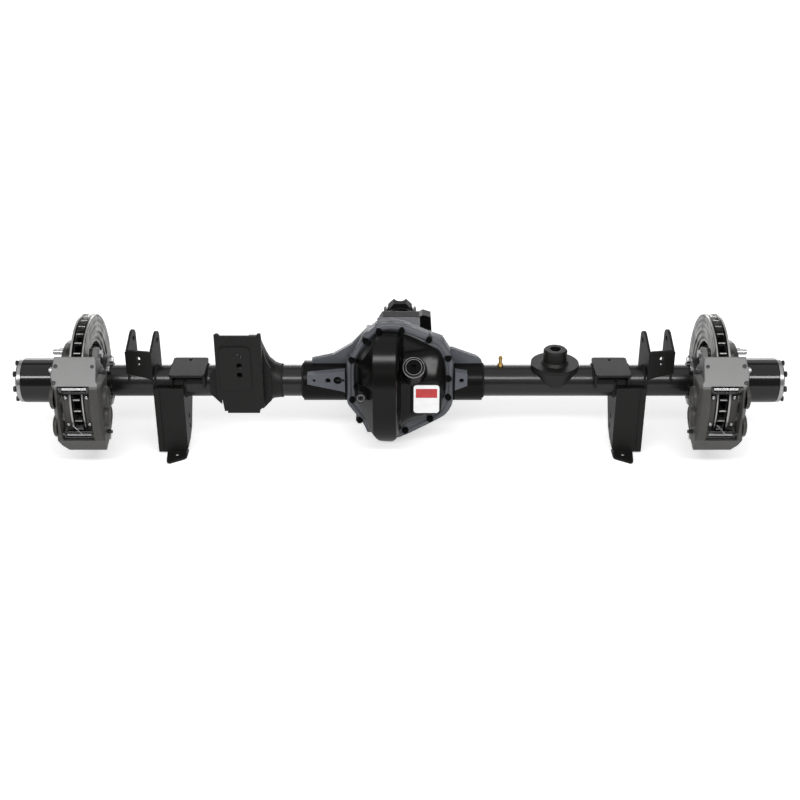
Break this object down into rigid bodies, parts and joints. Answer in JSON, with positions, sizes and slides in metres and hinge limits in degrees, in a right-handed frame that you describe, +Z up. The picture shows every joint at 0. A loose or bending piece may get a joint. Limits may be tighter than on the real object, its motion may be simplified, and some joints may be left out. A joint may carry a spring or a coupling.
{
  "type": "rear axle assembly",
  "caption": "Full-floating rear axle: cast centre housing with bolted cover, steel tubes, link and spring brackets, and a disc brake and hub at each end.",
  "frame": {"origin": "middle of the wheel axis, half way between the wheel faces", "axes": "+X along the axle to the right as seen from behind, +Y forward to the pinion, +Z up"},
  "size_m": [2.0058, 0.586, 0.369],
  "materials": {
    "bright_steel": "machined",
    "caliper_grey": "satin coated",
    "brass": "turned",
    "badge_white": "gloss",
    "gear_steel": "ground",
    "pad_friction": "matte",
    "hub_black": "gloss black",
    "seal_rubber": "matte",
    "dark_steel": "black oxide",
    "housing_black": "satin black over casting",
    "bracket_black": "satin black"
  },
  "bodies": {
    "housing": {"centre_housing": "housing_black", "left_axle_tube": "bracket_black", "right_axle_tube": "bracket_black", "diff_cover": "housing_black", "cover_bolts": "dark_steel", "fill_plug": "dark_steel", "drain_plug": "dark_steel", "cover_badge": "badge_white", "vent_fitting": "brass", "bearing_caps": "dark_steel", "cap_bolts": "dark_steel", "pinion_seal": "seal_rubber", "spring_perches": "bracket_black", "track_bar_bracket": "bracket_black", "left_upper_link_bracket": "bracket_black", "right_upper_link_bracket": "bracket_black", "bump_stop_pads": "bracket_black", "left_lower_link_bracket": "bracket_black", "right_lower_link_bracket": "bracket_black", "left_spindle": "dark_steel", "right_spindle": "dark_steel", "spindle_nuts": "bright_steel", "left_caliper_bracket": "bracket_black", "right_caliper_bracket": "bracket_black", "left_caliper": "caliper_grey", "right_caliper": "caliper_grey", "caliper_bolts": "bright_steel", "pad_pins": "bright_steel", "bleed_screws": "dark_steel"},
    "carrier": {"diff_case": "gear_steel", "ring_gear": "gear_steel", "ring_gear_bolts": "gear_steel", "carrier_bearings": "bright_steel", "cross_pin": "gear_steel"},
    "pinion": {"pinion_gear": "gear_steel", "pinion_bearings": "bright_steel", "pinion_yoke": "dark_steel", "pinion_nut": "bright_steel"},
    "left_wheel_end": {"left_hub": "hub_black", "left_rotor": "bright_steel", "left_wheel_studs": "bright_steel", "left_wheel_bearings": "bright_steel", "left_hub_seal": "seal_rubber", "left_axle_shaft": "bright_steel", "left_flange_bolts": "dark_steel"},
    "left_outer_brake_pad": {"left_outer_pad": "pad_friction", "left_outer_pistons": "bright_steel"},
    "left_inner_brake_pad": {"left_inner_pad": "pad_friction", "left_inner_pistons": "bright_steel"},
    "right_wheel_end": {"right_hub": "hub_black", "right_rotor": "bright_steel", "right_wheel_studs": "bright_steel", "right_wheel_bearings": "bright_steel", "right_hub_seal": "seal_rubber", "right_axle_shaft": "bright_steel", "right_flange_bolts": "dark_steel"},
    "right_outer_brake_pad": {"right_outer_pad": "pad_friction", "right_outer_pistons": "bright_steel"},
    "right_inner_brake_pad": {"right_inner_pad": "pad_friction", "right_inner_pistons": "bright_steel"}
  },
  "joints": [
    {"name": "carrier_spin", "type": "hinge", "parent": "housing", "child": "carrier", "pos_m": [0, 0, 0], "axis": [1, 0, 0], "continuous": true},
    {"name": "left_hub_spin", "type": "hinge", "parent": "housing", "child": "left_wheel_end", "pos_m": [0, 0, 0], "axis": [1, 0, 0], "continuous": true},
    {"name": "right_hub_spin", "type": "hinge", "parent": "housing", "child": "right_wheel_end", "pos_m": [0, 0, 0], "axis": [1, 0, 0], "continuous": true},
    {"name": "pinion_spin", "type": "hinge", "parent": "housing", "child": "pinion", "pos_m": [0, 0.2, 0], "axis": [0, 1, 0], "continuous": true},
    {"name": "left_outer_pad_slide", "type": "slide", "parent": "housing", "child": "left_outer_brake_pad", "axis": [1, 0, 0], "range_m": [0, 0.0005]},
    {"name": "left_inner_pad_slide", "type": "slide", "parent": "housing", "child": "left_inner_brake_pad", "axis": [-1, 0, 0], "range_m": [0, 0.0005]},
    {"name": "right_outer_pad_slide", "type": "slide", "parent": "housing", "child": "right_outer_brake_pad", "axis": [-1, 0, 0], "range_m": [0, 0.0005]},
    {"name": "right_inner_pad_slide", "type": "slide", "parent": "housing", "child": "right_inner_brake_pad", "axis": [1, 0, 0], "range_m": [0, 0.0005]}
  ],
  "couplings": [
    {"joint": "left_hub_spin", "follows": "carrier_spin", "ratio": 1},
    {"joint": "right_hub_spin", "follows": "carrier_spin", "ratio": 1},
    {"joint": "pinion_spin", "follows": "carrier_spin", "ratio": 4.1}
  ]
}
